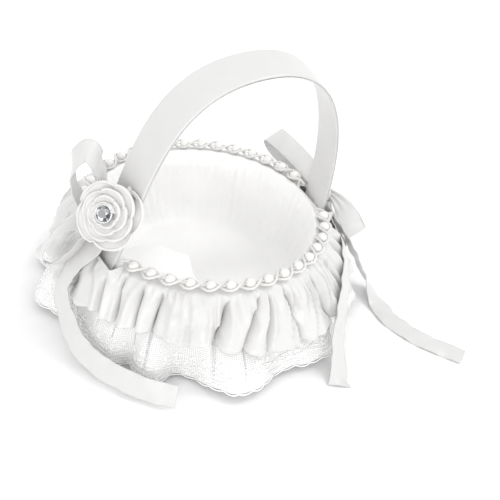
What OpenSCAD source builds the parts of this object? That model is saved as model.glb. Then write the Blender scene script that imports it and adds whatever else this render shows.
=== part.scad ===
/* [Bowl] */
// Radius of the ring of pearls round the rim
rim_r = 70; // [66:0.5:74]
// Height of the pearls' centres above the floor
pearl_z = 58; // [56:0.5:64]
// Outer radius of the card bowl at its top edge
bowl_top_r = 66.4; // [64:0.2:66.8]
// Outer radius of the card bowl at its base
bowl_base_r = 60.5; // [57:0.5:64]
// Thickness of the card wall and base
card_t = 1.6; // [1.2:0.1:2]
// Thickness of the satin covering and lining
satin_t = 0.6; // [0.4:0.1:0.8]
// Thickness of the foam pad in the floor of the bowl
pad_t = 5; // [3:0.5:7]

/* [Pearl trim] */
// Diameter of one pearl
pearl_d = 6; // [5:0.1:6.4]
// How many pearls a full turn of the trim would hold
pearl_places = 40; // [38:2:42]
// How many pearls are left out where each handle foot stands
foot_gap = 3; // [3:2:5]
// Diameter of the two cords that cross between the pearls
braid_d = 1.5; // [1.2:0.1:1.8]

/* [Skirts] */
// Height of the satin skirt's hem above the floor
satin_hem_z = 26; // [22:1:32]
// Radius of the lace skirt's hem, to the middle of its folds
lace_hem_r = 96; // [92:0.5:97]
// Height of the lace skirt's hem above the floor
lace_hem_z = 5; // [3:1:10]
// How many folds go round the skirts
folds = 17; // [13:1:21]
// How far the folds stand in and out at the hem
fold_depth = 2.6; // [1:0.1:3]

/* [Handle] */
// Width of the satin ribbon on the handle
ribbon_w = 25; // [20:0.5:26]
// Thickness of the plastic strip in the handle
core_t = 1.2; // [0.8:0.1:1.6]
// Height of the handle's top above the pearls
handle_rise = 97.2; // [90:0.1:106]

/* [Flowers and bows] */
// Outer radius of a ribbon rose
rose_r = 19.5; // [16:0.5:21]
// Diameter of the clear stone in a rose
stone_d = 8.4; // [7:0.2:9]
// Width of the narrow ribbon of the bows and tails
tail_w = 12.7; // [10:0.1:14]

/* [Hidden] */
$fn = 64;
satin = [0.97, 0.96, 0.94];
tape_t = 0.6;                 // thickness of the ribbons
tape_gap = 0.12;              // between the handle's strip and its ribbons
thread_d = 0.7;
wall_top = pearl_z - pearl_d / 2 - satin_t;
base_z = satin_t;             // underside of the card base
foot_y = -12.2;               // where the handle's feet stand along Y
near_foot_x = -70.3;
far_foot_x = 70.6;
foot_z = pearl_z - 6.7;       // where the handle's arch starts
foot_end_z = 28;              // the lower end of the handle strip
top_x = 14.1;
top_y = -14.5;
top_z = pearl_z + handle_rise;

// --- vectors and curves ---
function unit(v) = v / norm(v);
function lerp(a, b, t) = a + (b - a) * t;
function bezier(p, t) = pow(1 - t, 3) * p[0] + 3 * pow(1 - t, 2) * t * p[1]
    + 3 * (1 - t) * t * t * p[2] + pow(t, 3) * p[3];
function catmull(a, b, c, d, t) = 0.5 * ((2 * b) + (c - a) * t + (2 * a - 5 * b + 4 * c - d) * t * t
    + (3 * b - a - 3 * c + d) * t * t * t);
function at(list, i) = list[max(0, min(len(list) - 1, i))];
function smooth(list, per) = concat(
    [for (i = [0 : len(list) - 2]) for (k = [0 : per - 1])
        catmull(at(list, i - 1), at(list, i), at(list, i + 1), at(list, i + 2), k / per)],
    [list[len(list) - 1]]);
function along(p, i) = unit(at(p, i + 1) - at(p, i - 1));
function square_to(d, across) = unit(across - (across * d) * d);

// A closed surface through rings of the same number of points, capped at both ends.
// The two halves of a ring are split into triangles the same way round, so that strips laid together nest.
module loft(rings) {
    n = len(rings[0]);
    last = len(rings) - 1;
    polyhedron(
        points = [for (ring = rings) each ring],
        faces = concat(
            [[for (i = [0 : n - 1]) i]],
            [for (k = [0 : last - 1]) for (i = [0 : n - 1])
                let (a = k * n + i, b = k * n + (i + 1) % n, c = a + n, d = b + n)
                each (i < n / 2 ? [[a, c, d], [a, d, b]] : [[a, c, b], [b, c, d]])],
            [[for (i = [n - 1 : -1 : 0]) last * n + i]]));
}

// A flat strip along path. side holds the direction of its width at each point,
// and lift is how far its middle stands off the path along its face.
module strip(path, side, width, thick, lift = 0) {
    loft([for (i = [0 : len(path) - 1])
        let (d = along(path, i), s = square_to(d, at(side, i)), up = cross(d, s), c = path[i] + lift * up)
        [c - s * width / 2 - up * thick / 2, c + s * width / 2 - up * thick / 2,
         c + s * width / 2 + up * thick / 2, c - s * width / 2 + up * thick / 2]]);
}

// --- bowl ---
function bowl_r(z) = lerp(bowl_base_r, bowl_top_r, (z - base_z) / (wall_top - base_z));

module cone_shell(low, high, out, thick) {
    rotate_extrude($fn = 120)
        polygon([[bowl_r(low) + out - thick, low], [bowl_r(low) + out, low],
                 [bowl_r(high) + out, high], [bowl_r(high) + out - thick, high]]);
}

module base_cover() {
    color(satin) cylinder(r = bowl_base_r + satin_t, h = satin_t, $fn = 120);
}

module base_card() {
    color("burlywood") translate([0, 0, base_z]) cylinder(r = bowl_base_r - card_t, h = card_t, $fn = 120);
}

module wall_card() {
    color("burlywood") cone_shell(base_z, wall_top, 0, card_t);
}

module outer_cover() {
    color(satin) cone_shell(base_z, wall_top - 9, satin_t, satin_t);
}

module floor_pad() {
    color("ivory") translate([0, 0, base_z + card_t]) cylinder(r = bowl_base_r - card_t - 0.8, h = pad_t, $fn = 120);
}

floor_z = base_z + card_t + pad_t + 1;  // the surface that the flowers lie on

module lining_floor() {
    color(satin) translate([0, 0, floor_z - 1]) cylinder(r = bowl_r(floor_z) - card_t - 0.8, h = 1, $fn = 120);
}

// The lining goes up the inside, over the card's edge and a little way down the outside.
module lining_wall() {
    turn_down = wall_top - 8.5;
    inner = card_t + satin_t;
    color(satin) rotate_extrude($fn = 120) polygon([
        [bowl_r(floor_z) - inner, floor_z], [bowl_r(floor_z) - card_t, floor_z],
        [bowl_r(wall_top) - card_t, wall_top], [bowl_r(wall_top), wall_top],
        [bowl_r(turn_down), turn_down], [bowl_r(turn_down) + satin_t, turn_down],
        [bowl_r(wall_top) + satin_t, wall_top + satin_t], [bowl_r(wall_top) - inner, wall_top + satin_t]]);
}

// --- skirts ---
// Two gathered skirts hang from the rim, and the same folds run through both, so they nest.
skirt_top = wall_top - 0.4;
skirt_in = 0.8;    // thickness of the satin skirt with its gathers
lace_in = 1.2;     // how far the lace lies inside the satin's outer face
lace_t = 0.5;
satin_levels = [skirt_top, 45, 35, satin_hem_z];
lace_levels = [skirt_top, 45, 35, satin_hem_z, 15, lace_hem_z];

function fall(z) = (skirt_top - z) / (skirt_top - lace_hem_z);
function wave(a, t) = fold_depth * t * (0.7 * cos(folds * a) + 0.3 * cos((folds * 2 - 5) * a + 40));
function skirt_r(a, z) = lerp(bowl_top_r + 4.2, lace_hem_r + lace_in, pow(fall(z), 0.8)) + wave(a, fall(z));

// Joins upright outlines, one for each step round Z, into a closed ring.
module ring_of(outlines) {
    steps = len(outlines);
    n = len(outlines[0]);
    polyhedron(
        points = [for (k = [0 : steps - 1]) for (p = outlines[k])
            [p[0] * cos(k * 360 / steps), p[0] * sin(k * 360 / steps), p[1]]],
        faces = [for (k = [0 : steps - 1]) for (i = [0 : n - 1])
            let (a = k * n + i, b = ((k + 1) % steps) * n + i,
                 c = ((k + 1) % steps) * n + (i + 1) % n, d = k * n + (i + 1) % n)
            each [[a, c, b], [a, d, c]]]);
}

module skirt(levels, inset, thick) {
    steps = 144;
    last = len(levels) - 1;
    difference() {
        ring_of([for (k = [0 : steps - 1]) let (a = k * 360 / steps) concat(
            [for (z = levels) [skirt_r(a, z) - inset, z]],
            [for (i = [last : -1 : 0]) [skirt_r(a, levels[i]) - inset - thick, levels[i]]])]);
        foot_room();
    }
}

// The space that the handle's feet need inside the skirts.
module foot_room() {
    for (x = [near_foot_x, far_foot_x])
        translate([x - 6, foot_y - ribbon_w / 2 - 0.5, foot_end_z - 1]) cube([12, ribbon_w + 1, 40]);
}

module satin_skirt() {
    color(satin) skirt(satin_levels, 0, skirt_in);
}

module lace_skirt() {
    color("whitesmoke") skirt(lace_levels, lace_in, lace_t);
}

// --- pearl trim ---
pitch = 360 / pearl_places;
near_foot_a = 180 + asin(-foot_y / rim_r);
far_foot_a = asin(foot_y / rim_r);
half_gap = (foot_gap + 1) / 2 * pitch;
// The trim is in two arcs, one on each side of the feet.
arcs = [[far_foot_a + half_gap, near_foot_a - half_gap], [near_foot_a + half_gap, far_foot_a - half_gap + 360]];

function rim_point(a, r, z) = [r * cos(a), r * sin(a), z];

module rim_pearls() {
    color("white") for (arc = arcs) {
        count = round((arc[1] - arc[0]) / pitch);
        for (i = [0 : count])
            rotate([0, 0, lerp(arc[0], arc[1], i / count)]) translate([rim_r, 0, pearl_z]) difference() {
                sphere(d = pearl_d, $fn = 32);
                rotate([90, 0, 0]) cylinder(d = 1.2, h = pearl_d + 1, center = true, $fn = 24);
            }
    }
}

module pearl_thread() {
    color("white") for (arc = arcs)
        rotate([0, 0, arc[0] - 2]) rotate_extrude(angle = arc[1] - arc[0] + 4, $fn = 160)
            translate([rim_r, pearl_z]) circle(d = thread_d, $fn = 16);
}

// One of two cords that change sides between every pearl and the next.
module braid_cord(sign) {
    sway = pearl_d / 2 + braid_d / 2 + 0.35;
    rise = (braid_d + thread_d) / 2 + 0.15;  // clears the thread where the cords cross
    per_pearl = 4;
    color("white") for (arc = arcs) {
        count = round((arc[1] - arc[0]) / pitch);
        loft([for (k = [-2 : count * per_pearl + 2])
            let (phase = k / per_pearl * 180, a = lerp(arc[0], arc[1], k / per_pearl / count),
                 r = rim_r + sign * sway * cos(phase), z = pearl_z + sign * rise * sin(phase))
            [for (q = [0 : 60 : 300]) rim_point(a, r + braid_d / 2 * cos(q), z + braid_d / 2 * sin(q))]]);
    }
}

module braid_cord_a() {
    braid_cord(1);
}

module braid_cord_b() {
    braid_cord(-1);
}

// --- handle ---
// The handle's line: down the near foot, up over the top and down the far foot.
near_lean = 66.8;  // slope of the near side of the arch, in degrees
far_lean = 84.4;
near_pull = 49.6;
far_pull = 34.6;
near_side = [[near_foot_x, foot_z],
             [near_foot_x + near_pull * cos(near_lean), foot_z + near_pull * sin(near_lean)],
             [top_x - 63.3, top_z], [top_x, top_z]];
far_side = [[top_x, top_z], [top_x + 60.6, top_z],
            [far_foot_x + far_pull * cos(far_lean), foot_z + far_pull * sin(far_lean)], [far_foot_x, foot_z]];
near_foot = [[-68.9, foot_end_z], [-70.1, 37], [near_foot_x - 1.7, foot_z - 4.3], [near_foot_x, foot_z]];
far_foot = [[far_foot_x, foot_z], [far_foot_x - 0.2, foot_z - 4.5], [70, 38], [68.9, foot_end_z]];
function handle_y(z) = lerp(foot_y, top_y, max(0, (z - foot_z) / handle_rise_from_foot));
handle_rise_from_foot = top_z - foot_z;
handle_xz = concat(
    [for (k = [0 : 5]) bezier(near_foot, k / 6)], [for (k = [0 : 21]) bezier(near_side, k / 22)],
    [for (k = [0 : 21]) bezier(far_side, k / 22)], [for (k = [0 : 6]) bezier(far_foot, k / 6)]);
handle_path = [for (p = handle_xz) [p[0], handle_y(p[1]), p[1]]];
// The handle twists a little towards its far foot.
handle_twist = [0.6, 12];
handle_side = [for (i = [0 : len(handle_path) - 1])
    let (d = along(handle_path, i), u = unit(cross([0, 1, 0], d)),
         w = max(0, min(1, (i - 6) / 44)),
         t = lerp(handle_twist[0], handle_twist[1], w) * (i > 50 ? max(0, (56 - i) / 6) : 1))
    [0, 1, 0] * cos(t) + [-d[2], 0, d[0]] * sin(t)];

module handle_core() {
    color("gainsboro") strip(handle_path, handle_side, ribbon_w - 2, core_t);
}

module handle_outer_ribbon() {
    color(satin) strip(handle_path, handle_side, ribbon_w, tape_t, (core_t + tape_t) / 2 + tape_gap);
}

module handle_inner_ribbon() {
    color(satin) strip(handle_path, handle_side, ribbon_w, tape_t, -(core_t + tape_t) / 2 - tape_gap);
}

// Glue fills the space between each flat foot and the round wall.
module handle_glue() {
    low = foot_end_z + 3;
    glue_in = 58;
    glue_out = 67.7;
    color("ivory") for (side = [-1, 1]) difference() {
        translate([side * (glue_out - glue_in) / 2 + side * glue_in, foot_y, low + 5])
            cube([glue_out - glue_in, 16, 10], center = true);
        rotate_extrude($fn = 120)
            polygon([[0, base_z], [bowl_r(base_z) + satin_t, base_z], [bowl_r(wall_top) + satin_t, wall_top], [0, wall_top]]);
    }
}

// --- rose ---
rose_at = [-66.2, -15, 81.8];
rose_dir = unit([-0.75, -0.45, 0.49]);

// Turns a piece drawn along +Z to stand along direction d, at point p.
module stand(p, d) {
    translate(p) rotate([0, acos(d[2]), atan2(d[1], d[0])]) children();
}

// A cup of ribbon: a curved wall that leans out.
module petal_cup(r_low, r_high, low, high, thick) {
    rotate_extrude($fn = 72) polygon(concat(
        [for (t = [0 : 0.2 : 1]) [lerp(r_low, r_high, pow(t, 0.7)), lerp(low, high, t)]],
        [for (t = [1 : -0.2 : 0]) [lerp(r_low, r_high, pow(t, 0.7)) - thick, lerp(low, high, t)]]));
}

module near_rose_backing() {
    color(satin) stand(rose_at, rose_dir) cylinder(r = rose_r * 0.47, h = 1.2);
}

module near_rose_outer_petals() {
    color(satin) stand(rose_at, rose_dir) {
        petal_cup(rose_r * 0.55, rose_r, 1.3, 7, 1.4);
        petal_cup(rose_r * 0.45, rose_r * 0.8, 1.3, 9, 1.4);
    }
}

module near_rose_inner_petals() {
    color(satin) stand(rose_at, rose_dir) petal_cup(rose_r * 0.34, rose_r * 0.56, 1.3, 10.5, 1.3);
}

module near_rose_heart() {
    color(satin) stand(rose_at, rose_dir) translate([0, 0, 1.3]) cylinder(r = rose_r * 0.26, h = 8);
}

module near_stone_setting() {
    color("silver") stand(rose_at, rose_dir) translate([0, 0, 9.3]) difference() {
        cylinder(d = stone_d + 1.2, h = 2);
        translate([0, 0, 0.4]) cylinder(d = stone_d, h = 2);
    }
}

module near_stone() {
    color("lightgray") stand(rose_at, rose_dir) translate([0, 0, 9.8]) {
        cylinder(d1 = stone_d * 0.5, d2 = stone_d - 0.1, h = 1.5, $fn = 24);
        translate([0, 0, 1.5]) cylinder(d1 = stone_d - 0.1, d2 = stone_d * 0.55, h = 1.3, $fn = 24);
    }
}

// --- bows and tails ---
// Each ribbon runs through points that a smooth curve joins, and faces says which way its satin looks.
// Its width narrows towards pinch at the ends that are gathered into a knot.
near_knot = [-63.2, -12, 79];
near_out = unit([-0.95, 0, 0.31]);
far_knot = [74.6, -14, 59];

module ribbon(points, faces, pinch = [1, 1], per = 3) {
    path = smooth(points, per);
    look = smooth(faces, per);
    last = len(path) - 1;
    color(satin) loft([for (i = [0 : last])
        let (d = along(path, i), s = unit(cross(d, look[i])), up = cross(s, d), c = path[i],
             w = tail_w * min(1, pinch[0] + i / last * 4, pinch[1] + (1 - i / last) * 4))
        [c - s * w / 2 - up * tape_t / 2, c + s * w / 2 - up * tape_t / 2,
         c + s * w / 2 + up * tape_t / 2, c - s * w / 2 + up * tape_t / 2]]);
}

module near_bow_knot() {
    color(satin) stand(near_knot, near_out) cylinder(r = 4.5, h = 1.6);
}

module near_bow_upper_loop() {
    ribbon([[-70, -1.5, 76.5], [-75.5, 4.8, 79], [-79, 7.5, 88], [-79.8, 8.1, 97.8], [-78.2, 6.9, 106.2],
            [-73.7, 3.5, 111.5], [-70.3, 1, 108.7], [-66.8, 1.8, 99.6], [-64, 2.5, 89.5], [-63.4, -2, 81.5]],
           [[0, 0, -1], [-0.6, 0.4, -0.6], [-0.8, 0.6, 0], [-0.8, 0.6, 0], [-0.6, 0.45, 0.6], [0, 0, 1],
            [0.6, -0.45, 0.6], [0.8, -0.6, 0], [0.8, -0.6, 0], [0.8, -0.6, 0.2]], [0.45, 0.35]);
}

module near_bow_side_loop() {
    ribbon([[-70, -3.5, 71.5], [-75.7, -0.4, 68.9], [-82, 2.2, 67.4], [-88.6, 4.3, 63.3], [-93.5, 6, 55.9],
            [-96.9, 7.5, 48.7], [-96.7, 7.4, 43], [-92.6, 4.3, 41.2], [-87.2, 0.3, 44.7], [-80.5, -3.8, 54.9],
            [-75.2, -3.8, 61.6]],
           [[-0.3, 0.2, 0.9], [-0.3, 0.2, 0.9], [-0.4, 0.3, 0.8], [-0.5, 0.4, 0.7], [-0.7, 0.5, 0.4],
            [-0.8, 0.6, 0.1], [-0.5, 0.4, -0.8], [0.1, 0, -1], [0.45, -0.35, -0.8], [0.5, -0.4, -0.7],
            [0.5, -0.4, -0.7]], [0.35, 0.35]);
}

module near_tail() {
    ribbon([[-85.5, 1, 41], [-91.5, -6, 30], [-95, -18, 20], [-95, -33, 12.5], [-89.5, -50, 9], [-80.5, -64.5, 7.5],
            [-71, -76, 7], [-60, -86, 7]],
           [[-0.9, 0.1, 0.35], [-0.9, 0, 0.4], [-0.9, -0.15, 0.4], [-0.83, -0.35, 0.42], [-0.75, -0.45, 0.44],
            [-0.65, -0.6, 0.46], [-0.55, -0.68, 0.46], [-0.5, -0.72, 0.46]], [0.8, 1], 4);
}

module far_bow_knot() {
    color(satin) translate(far_knot) rotate([0, 90, 0]) translate([0, 0, -0.8]) cylinder(r = 5, h = 4);
}

module far_bow_back_loop() {
    ribbon([[78.8, -7.5, 59.8], [79.6, 0, 59.6], [80.2, 12, 60.4], [79.6, 26, 62.4], [78.6, 40, 63.4],
            [78.6, 49.5, 62.6], [81.5, 52, 59.5], [84, 46, 57], [85.5, 26, 55.8], [84.5, 8, 55.2], [81, -7.5, 57.3]],
           [[-0.66, 0, 0.75], [-0.66, 0, 0.75], [-0.66, 0, 0.75], [-0.66, 0, 0.75], [-0.66, 0, 0.75],
            [-0.3, 0.9, 0.35], [0.3, 0.9, -0.35], [0.66, 0, -0.75], [0.66, 0, -0.75], [0.66, 0, -0.75],
            [0.66, 0, -0.75]], [0.35, 0.35]);
}

module far_bow_front_loop() {
    ribbon([[78.6, -20, 59.6], [79.3, -26, 58], [80.2, -33, 54.4], [81.2, -38.5, 49.5], [83.7, -41.3, 45.4],
            [86.2, -37.5, 43.8], [86.8, -29.5, 47], [84.8, -22.5, 52.2], [81, -18.5, 56]],
           [[-0.7, -0.35, 0.6], [-0.7, -0.35, 0.6], [-0.7, -0.35, 0.6], [-0.65, -0.5, 0.4], [0.25, -0.75, -0.6],
            [0.7, 0.2, -0.6], [0.7, 0.35, -0.6], [0.7, 0.35, -0.6], [0.7, 0.35, -0.6]], [0.35, 0.35]);
}

module far_long_tail() {
    ribbon([[84.5, -32, 38], [90, -37, 24], [95.5, -44, 11], [97, -53, 3.5], [95, -65, 1.2], [94, -78, 0.9],
            [99, -96, 0.9], [105.5, -108, 0.9], [114.5, -121.5, 0.9]],
           [[0.9, -0.1, 0.4], [0.9, -0.1, 0.4], [0.8, -0.1, 0.55], [0.5, -0.1, 0.8], [0.1, 0, 1], [0, 0, 1],
            [0, 0, 1], [0, 0, 1], [0, 0, 1]], [0.8, 1], 4);
}

module far_short_tail() {
    ribbon([[76.5, -31, 42], [72.5, -45, 41], [65, -58.5, 37], [56.5, -70.5, 32], [47.5, -82.5, 24.5], [41, -91, 16],
            [37.5, -99, 7.5], [35, -104.5, 2.6], [31.5, -110, 0.9]],
           [[0.8, -0.3, 0.4], [0.75, -0.45, 0.4], [0.7, -0.6, 0.4], [0.6, -0.7, 0.4], [0.5, -0.75, 0.4], [0.4, -0.85, 0.4],
            [0.3, -0.85, 0.45], [0.2, -0.6, 0.8], [0, 0, 1]], [0.8, 1], 4);
}

base_cover();
base_card();
wall_card();
outer_cover();
floor_pad();
lining_floor();
lining_wall();
lace_skirt();
satin_skirt();
rim_pearls();
pearl_thread();
braid_cord_a();
braid_cord_b();
handle_core();
handle_outer_ribbon();
handle_inner_ribbon();
handle_glue();
near_rose_backing();
near_rose_outer_petals();
near_rose_inner_petals();
near_rose_heart();
near_stone_setting();
near_stone();
near_bow_knot();
near_bow_upper_loop();
near_bow_side_loop();
near_tail();
far_bow_knot();
far_bow_back_loop();
far_bow_front_loop();
far_long_tail();
far_short_tail();
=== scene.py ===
import math
import bpy
import numpy as np
from mathutils import Matrix, Vector


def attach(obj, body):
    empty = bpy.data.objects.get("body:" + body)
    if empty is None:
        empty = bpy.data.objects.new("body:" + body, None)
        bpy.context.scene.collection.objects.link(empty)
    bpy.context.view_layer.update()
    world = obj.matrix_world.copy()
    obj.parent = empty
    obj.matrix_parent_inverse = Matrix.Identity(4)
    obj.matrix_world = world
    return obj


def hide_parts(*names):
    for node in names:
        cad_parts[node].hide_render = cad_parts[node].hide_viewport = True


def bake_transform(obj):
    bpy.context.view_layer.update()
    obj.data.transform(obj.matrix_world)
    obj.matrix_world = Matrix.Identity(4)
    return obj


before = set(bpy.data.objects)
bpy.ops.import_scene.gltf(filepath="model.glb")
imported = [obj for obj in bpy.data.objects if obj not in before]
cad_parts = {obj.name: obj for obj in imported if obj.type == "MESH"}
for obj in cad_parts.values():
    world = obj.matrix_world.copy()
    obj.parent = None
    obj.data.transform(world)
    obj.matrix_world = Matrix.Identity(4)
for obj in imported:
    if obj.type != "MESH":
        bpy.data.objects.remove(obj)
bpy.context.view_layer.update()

dice = np.random.default_rng(12)
MM = 0.001

# Sizes in millimetres, the same as the part's.
RIM_R, PEARL_Z, PEARL_D, PITCH = 70.0, 58.0, 6.0, 9.0
BOWL_TOP_R, BOWL_BASE_R, WALL_TOP, BASE_Z = 66.4, 60.5, 54.4, 0.6
HANDLE_W, TAIL_W = 25.0, 12.7
FOOT_Y, TOP_Y, FOOT_Z, TOP_Z = -12.2, -14.5, 51.3, 155.2
ROSE_AT, ROSE_DIR, ROSE_R = np.array([-66.2, -15, 81.8]), np.array([-0.75, -0.45, 0.49]), 21.0
STONE_R = 4.15
NEAR_KNOT, NEAR_OUT = np.array([-63.2, -12, 79]), np.array([-0.95, 0, 0.31])
FAR_KNOT = np.array([74.6, -14, 59])


# --- numbers and curves ---
def unit(v):
    v = np.asarray(v, float)
    return v / np.maximum(np.linalg.norm(v, axis=-1, keepdims=True), 1e-9)


def ease(x, low, high):
    t = np.clip((np.asarray(x, float) - low) / (high - low), 0, 1)
    return t * t * (3 - 2 * t)


def bump(x, centre, width):
    return np.exp(-(((x - centre) / width) ** 2))


def turn(angle, centre):
    """How far an angle in degrees is from a centre, from -180 to 180."""
    return (np.asarray(angle, float) - centre + 180) % 360 - 180


def distances(points):
    """How far along a path each of its points is."""
    return np.concatenate([[0], np.cumsum(np.linalg.norm(np.diff(points, axis=0), axis=-1))])


def spline(rows, count):
    """Even points on a smooth curve through rows, and its length. Columns past the third go along."""
    rows = np.asarray(rows, float)
    ends = np.vstack([2 * rows[0] - rows[1], rows, 2 * rows[-1] - rows[-2]])
    t = np.linspace(0, len(rows) - 1, 40 * len(rows))
    k = np.minimum(t.astype(int), len(rows) - 2)
    f = (t - k)[:, None]
    a, b, c, d = (ends[k + j] for j in range(4))
    fine = 0.5 * (2 * b + (c - a) * f + (2 * a - 5 * b + 4 * c - d) * f**2 + (3 * b - a - 3 * c + d) * f**3)
    run = distances(fine[:, :3])
    at = np.linspace(0, run[-1], count)
    return np.column_stack([np.interp(at, run, column) for column in fine.T]), run[-1]


def bezier(p, t):
    p, t = np.asarray(p, float), np.asarray(t, float)[:, None]
    return (1 - t) ** 3 * p[0] + 3 * (1 - t) ** 2 * t * p[1] + 3 * (1 - t) * t**2 * p[2] + t**3 * p[3]


class Waves:
    """Smooth noise over an angle in degrees and a second number, the same at 0 and at 360 degrees."""

    def __init__(self, low, high, count, cross=0.0):
        self.turns = dice.integers(low, high + 1, count)
        self.cross = dice.uniform(-cross, cross, count)
        self.phase = dice.uniform(0, 2 * np.pi, count)
        self.size = dice.uniform(0.5, 1, count) / np.sqrt(count / 2)

    def __call__(self, angle, second=0.0):
        angle, second = np.broadcast_arrays(np.radians(angle), np.asarray(second, float))
        return sum(s * np.cos(n * angle + c * second + p)
                   for n, c, p, s in zip(self.turns, self.cross, self.phase, self.size))


# --- meshes ---
def new_object(name, data):
    obj = bpy.data.objects.new(name, data)
    bpy.context.scene.collection.objects.link(obj)
    return obj


def add_mesh(name, points, faces, uv=None, smooth=True):
    """A mesh object from points in millimetres. uv has a row for every corner of every face."""
    mesh = bpy.data.meshes.new(name)
    faces = faces if isinstance(faces, list) else faces.tolist()
    mesh.from_pydata((np.asarray(points) * MM).tolist(), [], faces)
    if uv is not None:
        mesh.uv_layers.new(name="UVMap").data.foreach_set("uv", (np.asarray(uv, float) * MM).ravel())
    mesh.polygons.foreach_set("use_smooth", [smooth] * len(mesh.polygons))
    mesh.validate()
    return new_object(name, mesh)


def quads(rows, columns, wrap):
    """The rows and the columns of the corners of a grid's quads. Columns run on where it wraps."""
    i, j = np.meshgrid(np.arange(rows - 1), np.arange(columns if wrap else columns - 1), indexing="ij")
    i, j = i.ravel(), j.ravel()
    return np.column_stack([i, i + 1, i + 1, i]), np.column_stack([j, j, j + 1, j + 1])


def normals(grid, wrap):
    down = np.gradient(grid, axis=0)
    if wrap:
        ahead = np.roll(grid, -1, axis=1) - np.roll(grid, 1, axis=1)
    else:
        ahead = np.gradient(grid, axis=1)
    return unit(np.cross(down, ahead))


def flat_map(along, up):
    """Flat coordinates of a grid of cloth, in millimetres, from those of its columns and its rows."""
    return np.stack(np.broadcast_arrays(along, up), -1)


def lathed(name, grid, flip=False):
    """A closed solid from rings of points, with a flat cap on its first ring and on its last."""
    rings, sides = grid.shape[:2]
    i, j = quads(rings, sides, True)
    step = -1 if flip else 1
    faces = (i * sides + j % sides)[:, ::step].tolist()
    faces.append(list(range(sides))[::step])
    faces.append([(rings - 1) * sides + k for k in range(sides)][::-step])
    return add_mesh(name, grid.reshape(-1, 3), faces)


def shell(name, grid, uv, thick, wrap=False):
    """A closed thin sheet round a grid of points. uv has one more column than the grid where it wraps."""
    rows, columns = grid.shape[:2]
    half = normals(grid, wrap) * np.broadcast_to(np.asarray(thick, float) / 2, (rows, columns))[..., None]
    points = np.concatenate([(grid + half).reshape(-1, 3), (grid - half).reshape(-1, 3)])
    ci, cj = quads(rows, columns, wrap)
    front = ci * columns + cj % columns
    back = front[:, ::-1] + rows * columns
    rims = []
    spans = np.arange(columns if wrap else columns - 1)
    for row, flip in ((0, False), (rows - 1, True)):
        a, b = (spans + 1, spans) if flip else (spans, spans + 1)
        rims.append((np.full((len(spans), 4), row), np.column_stack([a, b, b, a])))
    if not wrap:
        steps = np.arange(rows - 1)
        for column, flip in ((0, True), (columns - 1, False)):
            a, b = (steps + 1, steps) if flip else (steps, steps + 1)
            rims.append((np.column_stack([a, b, b, a]), np.full((len(steps), 4), column)))
    ri, rj = (np.concatenate(part) for part in zip(*rims))
    rim = ri * columns + rj % columns + np.array([0, 0, 1, 1]) * rows * columns
    corners = [(ci, cj), (ci[:, ::-1], cj[:, ::-1]), (ri, rj)]
    texture = np.concatenate([uv[a, b] for a, b in corners]).reshape(-1, 2)
    return add_mesh(name, points, np.concatenate([front, back, rim]), texture)


def tube(path, across, up, sides, lobes=0, pitch=4.0):
    """Points and faces of a tube. across and up are its two radii as vectors at each point of its path."""
    count = len(path)
    q = np.arange(sides) * 2 * np.pi / sides
    run = distances(path)[:, None]
    swell = 1 + (0.24 * np.cos(lobes * q - run * 2 * np.pi / pitch) if lobes else 0 * q * run)
    ring = (swell * np.cos(q))[..., None] * across[:, None] + (swell * np.sin(q))[..., None] * up[:, None]
    points = (path[:, None] + ring).reshape(-1, 3)
    i, j = np.meshgrid(np.arange(count - 1), np.arange(sides), indexing="ij")
    i, j = i.ravel(), j.ravel()
    k = (j + 1) % sides
    low, high = i * sides, (i + 1) * sides
    faces = np.column_stack([low + j, low + k, high + k, high + j]).tolist()
    faces.append(list(range(sides))[::-1])
    faces.append([(count - 1) * sides + m for m in range(sides)])
    return points, faces


def joined(parts):
    """Several sets of points and faces as one."""
    points, faces, start = [], [], 0
    for p, f in parts:
        points.append(p)
        faces.extend([[v + start for v in face] for face in f])
        start += len(p)
    return np.concatenate(points), faces


def ball(rings, sides):
    """A unit ball with its poles on Z, as points and faces."""
    lat = np.linspace(0, np.pi, rings + 1)[1:-1]
    lon = np.arange(sides) * 2 * np.pi / sides
    body = np.stack([np.outer(np.sin(lat), np.cos(lon)), np.outer(np.sin(lat), np.sin(lon)),
                     np.outer(np.cos(lat), np.ones(sides))], -1).reshape(-1, 3)
    points = np.vstack([[0, 0, 1], body, [0, 0, -1]])
    last = len(points) - 1
    faces = [[0, 1 + j, 1 + (j + 1) % sides] for j in range(sides)]
    for i in range(rings - 2):
        a, b = 1 + i * sides, 1 + (i + 1) * sides
        faces += [[a + j, b + j, b + (j + 1) % sides, a + (j + 1) % sides] for j in range(sides)]
    a = 1 + (rings - 2) * sides
    faces += [[a + j, last, a + (j + 1) % sides] for j in range(sides)]
    return points, faces


# --- materials ---
def set_inputs(node, **values):
    """Sets a node's inputs by their names, with _ for each space, and gives the node back."""
    for socket, value in values.items():
        node.inputs[socket.replace("_", " ")].default_value = value
    return node


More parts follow.
